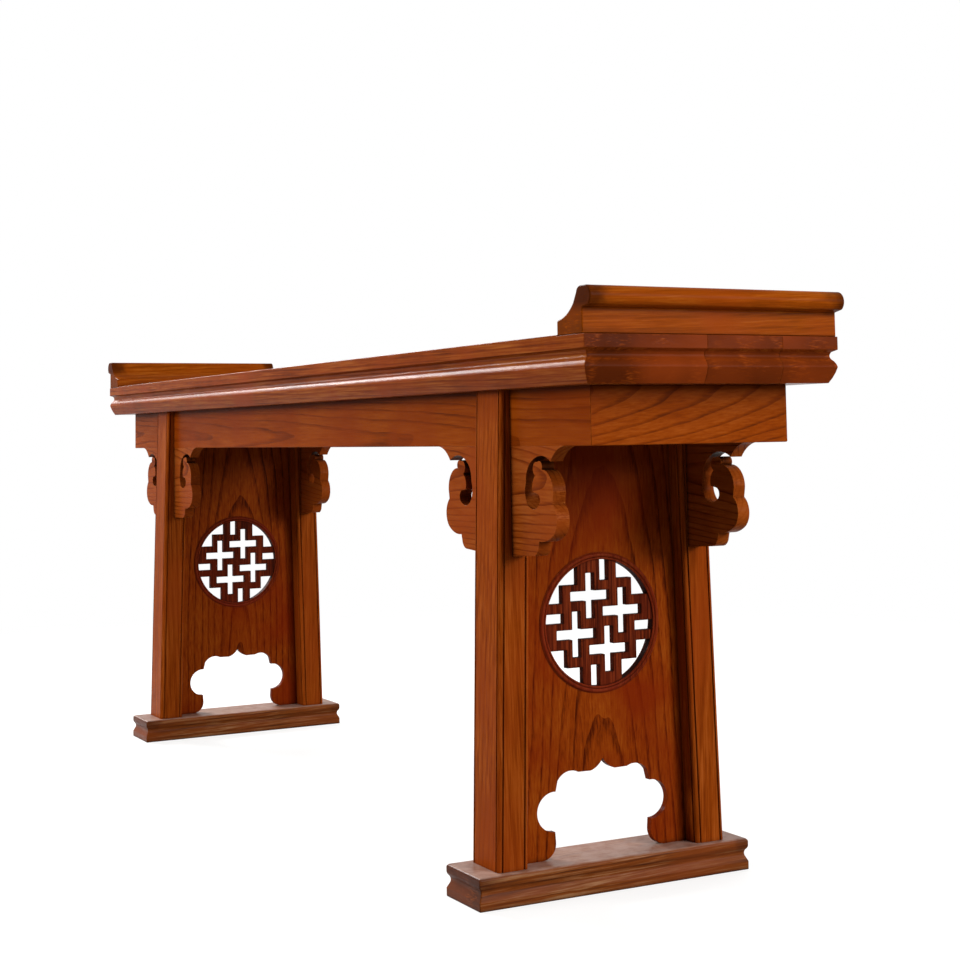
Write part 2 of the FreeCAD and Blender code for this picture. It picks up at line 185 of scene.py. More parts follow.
class Grain(Enum):
    """Direction that the fibres of a board run in."""

    ALONG_X = "X"
    ALONG_Y = "Y"
    ALONG_Z = "Z"

    def drawn_out(self, times: float) -> tuple[float, ...]:
        """Scale that draws a pattern out along the fibres."""
        return tuple(times if axis == self.value else 1.0 for axis in "XYZ")

    def drawn_level(self, times: float) -> tuple[float, ...]:
        """Scale that draws a pattern out level along the board's end grain."""
        level = "X" if self is Grain.ALONG_Y else "Y"
        return tuple(times if axis == level else 1.0 for axis in "XYZ")


@dataclass(frozen=True)
class Heart:
    """Where the middle of the tree lay, seen from the middle of a board.

    Args:
        offset_mm: From the board's middle to the heart.
        tilt_deg: How far the heart leans from the fibres' axis, about X, Y and Z.
    """

    offset_mm: Triple
    tilt_deg: Triple = (0.0, 0.0, 0.0)


@dataclass(frozen=True)
class LacqueredElm:
    """Northern elm, planed and stained, under rubbed red-brown lacquer.

    It gives the eye bold growth rings that open into arches on flat-sawn faces, fine dark
    streaks of open pores between them, quirks, joints and recesses darkened by painted shade
    with some grime, pale worn arrises that on some boards also carry a painted highlight, and a
    sheen at a low angle.

    Args:
        name: Name of the finish.
        slot: Material slot of the record that it paints. Not used.
        dark: Late wood and filled pores.
        middle: Most of the face.
        pale: Early wood where the lacquer is thin.
        ember: Redder stain that drifts over the face.
        ring_mm: Distance between growth rings.
        wander_mm: How far a ring strays from its circle.
        streak_mm: Width of the streaks of pores. Real pores are 0.3 mm wide, too fine to show,
            so that each streak stands for a bundle of them.
        ring_share: Part of the tone that the rings give.
        ring_from: Share of a ring's width at which its dark late wood begins.
        streak_share: Part of the tone that the streaks give.
        end_level: Base of the tone on end grain.
        crease: Strength of the dark in joints, hollows and recesses, which is painted shade with
            some grime.
        crease_mm: How far that painted shade spreads from a corner.
        wear_and_edge_shading: Strength of the line on arrises: pale and worn, and on legs and
            feet also a painted highlight; on frets, whose arris colour is dark, painted shade.
        arris: Colour of the arrises, dark for painted shade, or None for the pale one of worn
            arrises and painted highlight.
        arris_mm: How far the arris colour reaches in from an edge.
        dust: Strength of the dust on faces that look up.
        handled: Strength of the dark that hands have left near the board's ends.
        roughness: Roughness of the lacquer.
        ior: Index of refraction. Lacquer has 1.5, and rubbed thin and dulled by age it mirrors
            far less, so it comes down until the sheen is the photo's.
        ripple_mm: Height of the ripples that the plane left under the lacquer.
    """

    name: str
    slot: str
    dark: str
    middle: str
    pale: str
    ember: str
    ring_mm: float = 9.0
    wander_mm: float = 16.0
    streak_mm: float = 3.0
    ring_share: float = 0.18
    ring_from: float = 0.5
    streak_share: float = 0.85
    end_level: float = 0.38
    crease: float = 0.55
    crease_mm: float = 9.0
    wear_and_edge_shading: float = 0.35
    arris: str | None = None
    arris_mm: float = 2.5
    dust: float = 0.0
    handled: float = 0.0
    roughness: float = 0.27
    ior: float = 1.05
    ripple_mm: float = 1.2

    def material(self, piece: str, low: Vector, high: Vector, grain: Grain,
                 heart: Heart) -> bpy.types.Material:
        """Build the finish for one board.

        Args:
            piece: Name of the board.
            low: Its lowest corner, in metres.
            high: Its highest corner.
            grain: Direction of its fibres.
            heart: Where its heart lay.

        Returns:
            The material.
        """
        material = bpy.data.materials.new(f"{self.name}_{piece}")
        material.use_nodes = True
        tree = material.node_tree
        tree.nodes.clear()
        middle = (low + high) / 2
        tone, fibres = self._tone(tree, middle, grain, heart)
        colour = self._stain(tree, tone, middle)
        if self.handled:
            colour = self._handle(tree, colour, low, high, grain)
        colour = self._age(tree, colour)
        if self.dust:
            colour = self._settle_dust(tree, colour)
        gloss = add_node(
            tree, "MapRange",
            {"From Min": 0.3, "From Max": 0.7, "To Min": self.roughness + PORE_ROUGHER,
             "To Max": self.roughness - FACE_SMOOTHER},
            {"Value": (fibres, 0)},
        )
        relief = self._relief(tree, fibres)
        shader = add_node(
            tree, "BsdfPrincipled", {"IOR": self.ior},
            {"Base Color": (colour, 2), "Roughness": (gloss, 0), "Normal": (relief, 0)},
        )
        add_node(tree, "OutputMaterial", links={"Surface": (shader, 0)})
        return material

    def _tone(self, tree: bpy.types.NodeTree, middle: Vector, grain: Grain,
              heart: Heart) -> tuple[bpy.types.Node, bpy.types.Node]:
        """Tone of the wood from 0, dark, to 1, pale.

        It is the level of the late wood, plus the fibres times their share, plus half of the
        slow patches, less what fibres and patches add on average.

        Args:
            tree: Node tree of the material.
            middle: Middle of the board, in metres.
            grain: Direction of its fibres.
            heart: Where its heart lay.

        Returns:
            The node of the tone and the node of the fibres.
        """
        surface = add_node(tree, "TexCoord")
        board = add_node(
            tree, "Mapping",
            {"vector_type": "TEXTURE", "Location": middle + Vector(heart.offset_mm) * MM,
             "Rotation": tuple(math.radians(angle) for angle in heart.tilt_deg)},
            {"Vector": (surface, "Object")},
        )
        long_way = add_node(
            tree, "Mapping", {"vector_type": "TEXTURE", "Scale": grain.drawn_out(RINGS_DRAWN)},
            {"Vector": (board, 0)},
        )
        facing = add_node(
            tree, "SeparateXYZ", links={0: (add_node(tree, "NewGeometry"), "Normal")}
        )
        across = add_node(tree, "Math", {"operation": "ABSOLUTE"}, {0: (facing, grain.value)})
        end = add_node(
            tree, "MapRange", {"From Min": 0.5, "From Max": 0.9}, {"Value": (across, 0)}
        )
        fibres = self._fibres(tree, board, end, grain)
        late_wood = self._late_wood(tree, board, long_way, end, grain)
        patches = add_node(
            tree, "TexNoise", {"Scale": 1 / (PATCH_MM * MM), "Detail": 3.0, "Roughness": 0.6},
            {"Vector": (long_way, 0)},
        )
        streaked = add_node(
            tree, "Math", {"operation": "MULTIPLY_ADD", 1: self.streak_share},
            {0: (fibres, 0), 2: (late_wood, 0)},
        )
        patched = add_node(
            tree, "Math", {"operation": "MULTIPLY_ADD", 1: 0.5},
            {0: (patches, 0), 2: (streaked, 0)},
        )
        tone = add_node(
            tree, "Math", {"operation": "SUBTRACT", 1: self.streak_share / 2 + 0.25},
            {0: (patched, 0)},
        )
        return tone, fibres

    def _fibres(self, tree: bpy.types.NodeTree, board: bpy.types.Node, end: bpy.types.Node,
                grain: Grain) -> bpy.types.Node:
        """Streaks of pores along the fibres, and dashes on end grain.

        The streaks are a fine noise drawn far out along the fibres. The dashes are a noise drawn
        out level, and a slow noise makes them strong in some spots and weak in others.

        Args:
            tree: Node tree of the material.
            board: Node of the place on the board.
            end: Node that is 1 on end grain.
            grain: Direction of the fibres.

        Returns:
            The node of the fibres, 0 where they are dark.
        """
        fine_way = add_node(
            tree, "Mapping", {"vector_type": "TEXTURE", "Scale": grain.drawn_out(PORES_DRAWN)},
            {"Vector": (board, 0)},
        )
        streaks = add_node(
            tree, "TexNoise",
            {"Scale": 1 / (self.streak_mm * MM), "Detail": 4.0, "Roughness": 0.65},
            {"Vector": (fine_way, 0)},
        )
        level_way = add_node(
            tree, "Mapping", {"vector_type": "TEXTURE", "Scale": grain.drawn_level(DASHES_DRAWN)},
            {"Vector": (board, 0)},
        )
        flecks = add_node(
            tree, "TexNoise", {"Scale": 1 / (DASH_MM * MM), "Detail": 3.0, "Roughness": 0.6},
            {"Vector": (level_way, 0)},
        )
        bright = add_node(
            tree, "MapRange", {"From Min": 0.45, "From Max": 0.7}, {"Value": (flecks, 0)}
        )
        spots = add_node(
            tree, "TexNoise", {"Scale": 1 / (SPOT_MM * MM), "Detail": 2.0}, {"Vector": (board, 0)}
        )
        strength = add_node(
            tree, "MapRange", {"From Min": 0.48, "From Max": 0.7, "To Min": 0.12, "To Max": 0.62},
            {"Value": (spots, 0)},
        )
        dashes = add_node(
            tree, "Math", {"operation": "MULTIPLY_ADD", 2: 0.3}, {0: (bright, 0), 1: (strength, 0)}
        )
        return add_node(
            tree, "Mix", {"data_type": "FLOAT"}, {0: (end, 0), 2: (streaks, 0), 3: (dashes, 0)}
        )

    def _late_wood(self, tree: bpy.types.NodeTree, board: bpy.types.Node,
                   long_way: bpy.types.Node, end: bpy.types.Node,
                   grain: Grain) -> bpy.types.Node:
        """Level of the tone before its fibres, lower in the dark late wood of each ring.

        Growth rings are circles round the heart, shifted by a slow noise that is drawn out along
        the fibres. Across each ring a sawtooth rises, and its last part is the late wood. On end
        grain the rings are four times weaker.

        Args:
            tree: Node tree of the material.
            board: Node of the place on the board.
            long_way: Node of that place, drawn out along the fibres.
            end: Node that is 1 on end grain.
            grain: Direction of the fibres.

        Returns:
            The node of the level.
        """
        drift = add_node(
            tree, "TexNoise", {"Scale": 1 / (DRIFT_MM * MM), "Detail": 2.0, "Roughness": 0.45},
            {"Vector": (long_way, 0)},
        )
        strayed = add_node(
            tree, "VectorMath", {"operation": "MULTIPLY_ADD", 1: (self.wander_mm * MM,) * 3},
            {0: (drift, "Color"), 2: (board, 0)},
        )
        rings = add_node(
            tree, "TexWave",
            {"wave_type": "RINGS", "rings_direction": grain.value, "wave_profile": "SAW",
             "Scale": WAVE_PERIOD / (self.ring_mm * MM), "Distortion": 0.6, "Detail": 2.0,
             "Detail Scale": 0.6},
            {"Vector": (strayed, 0)},
        )
        ring = add_node(
            tree, "MapRange",
            {"interpolation_type": "SMOOTHSTEP", "From Min": self.ring_from, "From Max": 0.97},
            {"Value": (rings, "Fac")},
        )
        line = add_node(
            tree, "MapRange", {"To Min": -self.ring_share, "To Max": -0.25 * self.ring_share},
            {"Value": (end, 0)},
        )
        level = add_node(
            tree, "MapRange", {"To Min": 0.5 + 0.2 * self.ring_share, "To Max": self.end_level},
            {"Value": (end, 0)},
        )
        return add_node(
            tree, "Math", {"operation": "MULTIPLY_ADD"},
            {0: (ring, 0), 1: (line, 0), 2: (level, 0)},
        )

    def _stain(self, tree: bpy.types.NodeTree, tone: bpy.types.Node,
               middle: Vector) -> bpy.types.Node:
        """Colour of the tone, with redder drifts that differ from board to board.

        Args:
            tree: Node tree of the material.
            tone: Node of the tone.
            middle: Middle of the board, in metres.

        Returns:
            The node whose third output is the colour.
        """
        wood = add_node(
            tree, "ValToRGB",
            {"stops": [(0.2, linear(self.dark)), (0.5, linear(self.middle)),
                       (0.8, linear(self.pale))]},
            {"Fac": (tone, 0)},
        )
        surface = add_node(tree, "TexCoord")
        apart = add_node(
            tree, "Mapping", {"Location": (middle.y * 7, middle.z * 5, middle.x * 3)},
            {"Vector": (surface, "Object")},
        )
        clouds = add_node(
            tree, "TexNoise", {"Scale": 1 / (EMBER_MM * MM), "Detail": 2.0},
            {"Vector": (apart, 0)},
        )
        glow = add_node(
            tree, "MapRange", {"From Min": 0.42, "From Max": 0.68, "To Max": 0.75},
            {"Value": (clouds, 0)},
        )
        return add_node(
            tree, "Mix", {"data_type": "RGBA", "blend_type": "MIX", 7: linear(self.ember)},
            {0: (glow, 0), 6: (wood, 0)},
        )

    def _handle(self, tree: bpy.types.NodeTree, stained: bpy.types.Node, low: Vector,
                high: Vector, grain: Grain) -> bpy.types.Node:
        """Darken the upper part of the board near both its ends, in uneven patches.

        Args:
            tree: Node tree of the material.
            stained: Node whose third output is the colour.
            low: Lowest corner of the board, in metres.
            high: Its highest corner.
            grain: Direction of its fibres.

        Returns:
            The node whose third output is the colour.
        """
        along = "XYZ".index(grain.value)
        surface = add_node(tree, "TexCoord")
        place = add_node(tree, "SeparateXYZ", links={0: (surface, "Object")})
        apart = add_node(
            tree, "Math", {"operation": "SUBTRACT", 1: (low[along] + high[along]) / 2},
            {0: (place, along)},
        )
        far = add_node(tree, "Math", {"operation": "ABSOLUTE"}, {0: (apart, 0)})
        blotches = add_node(
            tree, "TexNoise", {"Scale": 1 / (BLOTCH_MM * MM), "Detail": 3.0},
            {"Vector": (surface, "Object")},
        )
        uneven = add_node(
            tree, "Math", {"operation": "MULTIPLY_ADD", 1: GRIP_EDGE_MM * MM},
            {0: (blotches, 0), 2: (far, 0)},
        )
        reach = (high[along] - low[along]) / 2
        grip = add_node(
            tree, "MapRange",
            {"interpolation_type": "SMOOTHSTEP", "From Min": reach + GRIP_FROM_MM * MM,
             "From Max": reach + GRIP_TO_MM * MM, "To Max": self.handled},
            {"Value": (uneven, 0)},
        )
        height = high.z - low.z
        upper = add_node(
            tree, "MapRange",
            {"From Min": low.z + 0.5 * height, "From Max": low.z + 0.7 * height},
            {"Value": (place, "Z")},
        )
        darkened = add_node(
            tree, "Math", {"operation": "MULTIPLY"}, {0: (grip, 0), 1: (upper, 0)}
        )
        return add_node(
            tree, "Mix", {"data_type": "RGBA", "blend_type": "MIX", 7: linear(HAND_DARK)},
            {0: (darkened, 0), 6: (stained, 2)},
        )

    def _age(self, tree: bpy.types.NodeTree, stained: bpy.types.Node) -> bpy.types.Node:
        """Paint the arrises in chips, pale for worn edges and painted highlight, dark for painted
        shade where the arris colour is dark, and darken the joints and hollows with painted shade
        and some grime.

        Args:
            tree: Node tree of the material.
            stained: Node whose third output is the colour.

        Returns:
            The node whose third output is the colour.
        """
        surface = add_node(tree, "TexCoord")
        # Arrises: pale where worn, and on legs and feet also a painted highlight; on frets, whose
        # arris colour is dark, painted shade.
        arris = add_node(
            tree, "AmbientOcclusion",
            {"samples": CORNER_SAMPLES, "inside": True, "only_local": True,
             "Distance": self.arris_mm * MM},
        )
        worn = add_node(
            tree, "MapRange", {"From Min": 0.75, "From Max": 0.3, "To Max": self.wear_and_edge_shading},
            {"Value": (arris, "AO")},
        )
        knocks = add_node(
            tree, "TexNoise", {"Scale": 1 / (CHIP_MM * MM), "Detail": 4.0, "Roughness": 0.7},
            {"Vector": (surface, "Object")},
        )
        chips = add_node(
            tree, "MapRange", {"From Min": 0.42, "From Max": 0.62, "To Min": 0.25, "To Max": 1.5},
            {"Value": (knocks, 0)},
        )
        chipped = add_node(
            tree, "Math", {"operation": "MULTIPLY", "use_clamp": True},
            {0: (worn, 0), 1: (chips, 0)},
        )
        rubbed = add_node(
            tree, "Mix",
            {"data_type": "RGBA", "blend_type": "MIX", 7: linear(self.arris or self.pale)},
            {0: (chipped, 0), 6: (stained, 2)},
        )
        # Painted shade with some grime: joints, hollows and recesses darken where ambient
        # occlusion finds nearby surfaces.
        hollow = add_node(
            tree, "AmbientOcclusion",
            {"samples": CORNER_SAMPLES, "Distance": self.crease_mm * MM},
        )
        painted_shade_and_grime = add_node(
            tree, "MapRange", {"From Min": 0.92, "From Max": 0.45, "To Max": self.crease},
            {"Value": (hollow, "AO")},
        )
        return add_node(
            tree, "Mix", {"data_type": "RGBA", "blend_type": "MIX", 7: linear(PAINTED_SHADE_AND_GRIME)},
            {0: (painted_shade_and_grime, 0), 6: (rubbed, 2)},
        )

    def _settle_dust(self, tree: bpy.types.NodeTree, colour: bpy.types.Node) -> bpy.types.Node:
        """Lay pinkish grey dust on the faces that look up, thicker in patches.

        Args:
            tree: Node tree of the material.
            colour: Node whose third output is the colour.

        Returns:
            The node whose third output is the colour.
        """
        facing = add_node(
            tree, "SeparateXYZ", links={0: (add_node(tree, "NewGeometry"), "Normal")}
        )
        level = add_node(
            tree, "MapRange", {"From Min": 0.6, "From Max": 0.95, "To Max": self.dust},
            {"Value": (facing, "Z")},
        )
        surface = add_node(tree, "TexCoord")
        patches = add_node(
            tree, "TexNoise", {"Scale": 1 / (DUST_MM * MM), "Detail": 4.0, "Roughness": 0.6},
            {"Vector": (surface, "Object")},
        )
        thick = add_node(
            tree, "MapRange", {"From Min": 0.3, "From Max": 0.6, "To Min": 0.35},
            {"Value": (patches, 0)},
        )
        settled = add_node(
            tree, "Math", {"operation": "MULTIPLY"}, {0: (thick, 0), 1: (level, 0)}
        )
        return add_node(
            tree, "Mix", {"data_type": "RGBA", "blend_type": "MIX", 7: linear(HOUSE_DUST)},
            {0: (settled, 0), 6: (colour, 2)},
        )

    def _relief(self, tree: bpy.types.NodeTree, fibres: bpy.types.Node) -> bpy.types.Node:
        """Low ripples of the plane, with the pores cut into them.

        Args:
            tree: Node tree of the material.
            fibres: Node of the fibres.

        Returns:
            The node whose first output is the normal.
        """
        surface = add_node(tree, "TexCoord")
        planing = add_node(
            tree, "TexNoise", {"Scale": 1 / (PLANING_MM * MM), "Detail": 3.0},
            {"Vector": (surface, "Object")},
        )
        ripples = add_node(
            tree, "Bump", {"Strength": 0.5, "Distance": self.ripple_mm * MM},
            {"Height": (planing, 0)},
        )
        return add_node(
            tree, "Bump", {"Strength": 0.4, "Distance": PORE_DEPTH_MM * MM},
            {"Height": (fibres, 0), "Normal": (ripples, 0)},
        )


# Top boards, planed flat and rubbed glossy: long soft grain, and a bright line of light along the
# moulded edge.
TOP_ELM = LacqueredElm(
    "top_lacquered_elm", "elm_top", "#4E1D05", "#7C350B", "#A05A22", "#86360F",
    ring_share=0.16, ring_from=0.6, end_level=0.3, crease=0.7, roughness=0.22, ior=1.06,
    ripple_mm=2.2,
)

# Flanges, polished by hands: golden brown, nearly black where they are gripped, and painted
# shade in the line under the nose and the fascia.
FLANGE_ELM = LacqueredElm(
    "flange_lacquered_elm", "elm_flange", "#602A02", "#8A3E06", "#A85D1A", "#8C3A08",
    ring_mm=12.0, ring_share=0.14, crease=0.85, wear_and_edge_shading=0.5, handled=0.75, roughness=0.24,
)

# Aprons, flat-sawn: long arches of grain on an orange brown, darker close under the top with
# painted shade.
APRON_ELM = LacqueredElm(
    "apron_lacquered_elm", "elm_apron", "#5C2303", "#823604", "#964812", "#7E3006",
    ring_mm=11.0, ring_share=0.27, ring_from=0.66, streak_share=0.75, crease=0.7, crease_mm=14.0,
)

# Spandrels, sawn and carved: bold grain, painted deep shade in the hollows of the clouds, and
# sawn sides of the lobes painted paler as a highlight.
SPANDREL_ELM = LacqueredElm(
    "spandrel_lacquered_elm", "elm_spandrel", "#581F03", "#853B0D", "#A05522", "#883810",
    ring_mm=8.0, ring_share=0.3, ring_from=0.68, streak_share=0.7, end_level=0.6, crease=0.9,
    crease_mm=26.0, wear_and_edge_shading=0.5,
)

# Legs, quarter-sawn: straight fine streaks, and pale rubbed corners that also carry a painted
# highlight along the beads.
LEG_ELM = LacqueredElm(
    "leg_lacquered_elm", "elm_leg", "#622302", "#863A09", "#A2521C", "#83330A",
    ring_mm=11.0, streak_mm=2.6, ring_share=0.14, streak_share=1.3, crease=0.28, wear_and_edge_shading=0.6,
)

# Feet, scuffed and mopped: dull, dusty on top, with pale chipped edges, a painted sheen along
# the upper arris, and painted shade in the hollows.
FOOT_ELM = LacqueredElm(
    "foot_lacquered_elm", "elm_foot", "#3A1C0C", "#74390F", "#AA8058", "#743410",
    crease=0.8, wear_and_edge_shading=0.9, dust=0.75, handled=0.5, roughness=0.33, ior=1.12,
)

# End panels, each one wide flat-sawn board: tall nested arches of grain.
PANEL_ELM = LacqueredElm(
    "panel_lacquered_elm", "elm_panel", "#421302", "#7C3006", "#8F430E", "#701E04",
    ring_mm=17.0, wander_mm=30.0, ring_share=0.26, ring_from=0.62, streak_share=1.05,
)

# Frets, sawn through: dark cherry lacquer, dull, with painted shade along the edges of the bars
# and on the walls of the cuts.
FRET_ELM = LacqueredElm(
    "fret_lacquered_elm", "elm_fret", "#240A05", "#4E190A", "#853618", "#5E1C0A",
    ring_mm=8.0, ring_share=0.12, streak_share=1.3, crease=0.95, crease_mm=14.0, wear_and_edge_shading=1.0,
    arris="#240A04", arris_mm=9.0, roughness=0.4,
)

# Rings of the frets, turned: the same cherry lacquer, rubbed a little lighter.
RING_ELM = LacqueredElm(
    "ring_lacquered_elm", "elm_fret", "#3E0F0A", "#66220C", "#84391A", "#722210",
    ring_mm=8.0, ring_share=0.12, crease=0.8,
)

# Hidden boards, planed and left bare: dry, greyish and without a sheen.
INNER_ELM = LacqueredElm(
    "bare_planed_elm", "elm_hidden", "#4A3220", "#7A5A3C", "#9C7B56", "#6E4E32",
    wear_and_edge_shading=0.1, roughness=0.72,
)


@dataclass
class Joinery:
    """Boards of the frame that get worn arrises and a finish.

    Args:
        worn_mm: Radius of the worn arrises.
        turn_deg: Least angle of an edge that is worn.
        steps: Segments across a worn arris.
        merge_mm: Distance below which corners of the frame's triangles are one.
        flat_deg: Angle below which neighbouring triangles are one face.
    """

    worn_mm: float = 1.0
    turn_deg: float = 28.0
    steps: int = 2
    merge_mm: float = 0.002
    flat_deg: float = 0.4

    def wear_round(self, node: str, worn_mm: float) -> bpy.types.Object:
        """Copy a board of the frame with its arrises worn round.

        The copy's loose triangles are merged and joined into flat faces first, so that the
        rounding follows the real edges. Faces with a notch are then split into ones without.

        Args:
            node: Name of the board in the frame.
            worn_mm: Radius of its worn arrises.

        Returns:
            The new piece, which stands for the board.
        """
        shell = bmesh.new()
        shell.from_mesh(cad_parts[node].data)
        bmesh.ops.remove_doubles(shell, verts=shell.verts, dist=self.merge_mm * MM)
        bmesh.ops.dissolve_limit(
            shell, angle_limit=math.radians(self.flat_deg), verts=shell.verts, edges=shell.edges
        )
        bmesh.ops.recalc_face_normals(shell, faces=shell.faces)
        bmesh.ops.connect_verts_concave(shell, faces=shell.faces)
        mesh = bpy.data.meshes.new(f"{node}_worn")
        shell.to_mesh(mesh)
        shell.free()
        mesh.materials.clear()
        mesh.shade_smooth()
        mesh.set_sharp_from_angle(angle=math.radians(self.turn_deg))
        piece = bpy.data.objects.new(f"{node}_worn", mesh)
        bpy.context.scene.collection.objects.link(piece)
        arris = piece.modifiers.new("worn_arrises", "BEVEL")
        arris.width = worn_mm * MM
        arris.segments = self.steps
        arris.limit_method = "ANGLE"
        arris.angle_limit = math.radians(self.turn_deg)
        arris.use_clamp_overlap = True
        shading = piece.modifiers.new("flat_faces", "WEIGHTED_NORMAL")
        shading.weight = 100
        shading.keep_sharp = True
        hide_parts(node)
        return piece

    def lacquer(self, piece: bpy.types.Object, node: str, finish: LacqueredElm, grain: Grain,
                heart: Heart) -> None:
        """Put a finish on a piece and let it ride with the table.

        Args:
            piece: The piece.
            node: Board of the frame that it stands for.
            finish: Its finish.
            grain: Direction of its fibres.
            heart: Where its heart lay.
        """
        low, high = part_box(node)
        piece.data.materials.append(finish.material(node, low, high, grain, heart))
        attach(piece, "root")
        log.info("%s: %s", piece.name, finish.name)

    def fit(self, node: str, finish: LacqueredElm, grain: Grain, heart: Heart,
            worn_mm: float | None = None) -> None:
        """Wear a board round and lacquer it.

        Args:
            node: Name of the board in the frame.
            finish: Its finish.
            grain: Direction of its fibres.
            heart: Where its heart lay.
            worn_mm: Radius of its worn arrises, or None for the usual one.
        """
        piece = self.wear_round(node, self.worn_mm if worn_mm is None else worn_mm)
        self.lacquer(piece, node, finish, grain, heart)


@dataclass
class Top(Joinery):
    """The three boards of the top, the tongues between them and the battens below."""

    worn_mm: float = 1.2

    def build(self) -> None:
        """Fit the boards, tongues and battens."""
        for board, heart in (
            ("front", Heart(offset_mm=(0, 60, -170), tilt_deg=(0, 0.6, 0.5))),
            ("middle", Heart(offset_mm=(0, -20, -130), tilt_deg=(0, 0.5, 0))),
            ("rear", Heart(offset_mm=(0, -50, -150), tilt_deg=(0, 0.4, 0.2))),
        ):
            self.fit(f"top_{board}_board", TOP_ELM, Grain.ALONG_X, heart)
        for joint in ("front", "rear"):
            self.fit(
                f"{joint}_joint_tongue", INNER_ELM, Grain.ALONG_X, Heart(offset_mm=(0, 30, 60))
            )
        for place in ("left", "middle", "right"):
            self.fit(f"{place}_batten", INNER_ELM, Grain.ALONG_Y, Heart(offset_mm=(20, 0, 50)))


@dataclass
class Flanges(Joinery):
    """The everted flanges at both ends of the top."""

    worn_mm: float = 2.0
    steps: int = 3

    def build(self) -> None:
        """Fit both flanges."""
        for side in Side:
            self.fit(
                f"{side.value}_flange", FLANGE_ELM, Grain.ALONG_Y,
                Heart(offset_mm=(side.sign * -40, 0, -70), tilt_deg=(3.0, 0, 2.0 * side.sign)),
            )


@dataclass
class Aprons(Joinery):
    """The long and the end aprons and the cloud spandrels below them.

    Args:
        spandrel_worn_mm: Radius of the spandrels' arrises.
    """

    worn_mm: float = 1.2
    spandrel_worn_mm: float = 1.6

    def build(self) -> None:
        """Fit the aprons and spandrels."""
        for face in Face:
            self.fit(
                f"{face.value}_apron", APRON_ELM, Grain.ALONG_X,
                Heart(offset_mm=(0, -face.sign * 42, -18), tilt_deg=(0, 0.8, 1.2)),
            )
            for side in Side:
                self.fit(
                    f"{face.value}_{side.value}_spandrel", SPANDREL_ELM, Grain.ALONG_X,
                    Heart(offset_mm=(0, -face.sign * 60, 40), tilt_deg=(0, 2.0, 3.0)),
                    worn_mm=self.spandrel_worn_mm,
                )
        for side in Side:
            self.fit(
                f"{side.value}_end_apron", APRON_ELM, Grain.ALONG_Y,
                Heart(offset_mm=(-side.sign * 60, 0, 60), tilt_deg=(4.0, 0, 8.0 * side.sign)),
            )


@dataclass
class EndFrame(Joinery):
    """One end of the stand: two legs on a sledge foot, a rail, a panel and its fret.

    Args:
        side: End of the table that it carries.
        foot_worn_mm: Radius of the foot's arrises.
        leg_worn_mm: Radius of the legs' arrises.
        fret_worn_mm: Radius of the fret's arrises.
        ring_worn_mm: Radius of the rings' arrises.
    """

    side: Side = Side.RIGHT
    foot_worn_mm: float = 1.6
    leg_worn_mm: float = 0.8
    fret_worn_mm: float = 1.2
    ring_worn_mm: float = 0.4

    def build(self) -> None:
        """Fit the foot, legs, rail, panel, fret and rings."""
        end, inward = self.side.value, -self.side.sign
        self.fit(
            f"{end}_foot", FOOT_ELM, Grain.ALONG_Y,
            Heart(offset_mm=(20, 0, -60), tilt_deg=(1.5, 0, 1.0)), worn_mm=self.foot_worn_mm,
        )
        for face in Face:
            self.fit(
                f"{face.value}_{end}_leg", LEG_ELM, Grain.ALONG_Z,
                Heart(
                    offset_mm=(inward * 80, -face.sign * 60, 0),
                    tilt_deg=(-face.sign * 1.4, 0.8, 0),
                ),
                worn_mm=self.leg_worn_mm,
            )
        self.fit(f"{end}_top_rail", INNER_ELM, Grain.ALONG_Y, Heart(offset_mm=(30, 0, 70)))
        self.fit(
            f"{end}_end_panel", PANEL_ELM, Grain.ALONG_Z,
            Heart(offset_mm=(inward * 63, 20, 0), tilt_deg=(0, inward * 7.0, 0)),
        )
        self.fit(
            f"{end}_fret", FRET_ELM, Grain.ALONG_Z, Heart(offset_mm=(inward * 50, 30, 0)),
            worn_mm=self.fret_worn_mm,
        )
        for ring in ("outer", "inner"):
            self.fit(
                f"{end}_fret_{ring}_ring", RING_ELM, Grain.ALONG_Z,
                Heart(offset_mm=(inward * 50, 10, 0)), worn_mm=self.ring_worn_mm,
            )


@dataclass(frozen=True)
class Softbox:
    """Soft lamp that faces the table.

    Args:
        name: Name of the lamp.
        place_mm: Its place.
        size_mm: Its width and its height.
        watts: Its power.
        mirrored: Whether the lacquer mirrors it.
    """

    name: str
    place_mm: Triple
    size_mm: tuple[float, float]
    watts: float
    mirrored: bool = True

    def hang(self, aim_mm: Triple) -> None:
        """Hang the lamp and turn it.

        Args:
            aim_mm: Place that it faces.
        """
        lamp = bpy.data.lights.new(self.name, "AREA")
        lamp.shape = "RECTANGLE"
        lamp.size, lamp.size_y = (side * MM for side in self.size_mm)
        lamp.energy = self.watts
        holder = bpy.data.objects.new(self.name, lamp)
        holder.visible_glossy = self.mirrored
        place = Vector(self.place_mm) * MM
        aim = Vector(aim_mm) * MM - place
        holder.matrix_world = (
            Matrix.Translation(place) @ aim.to_track_quat("-Z", "Y").to_matrix().to_4x4()
        )
        bpy.context.scene.collection.objects.link(holder)


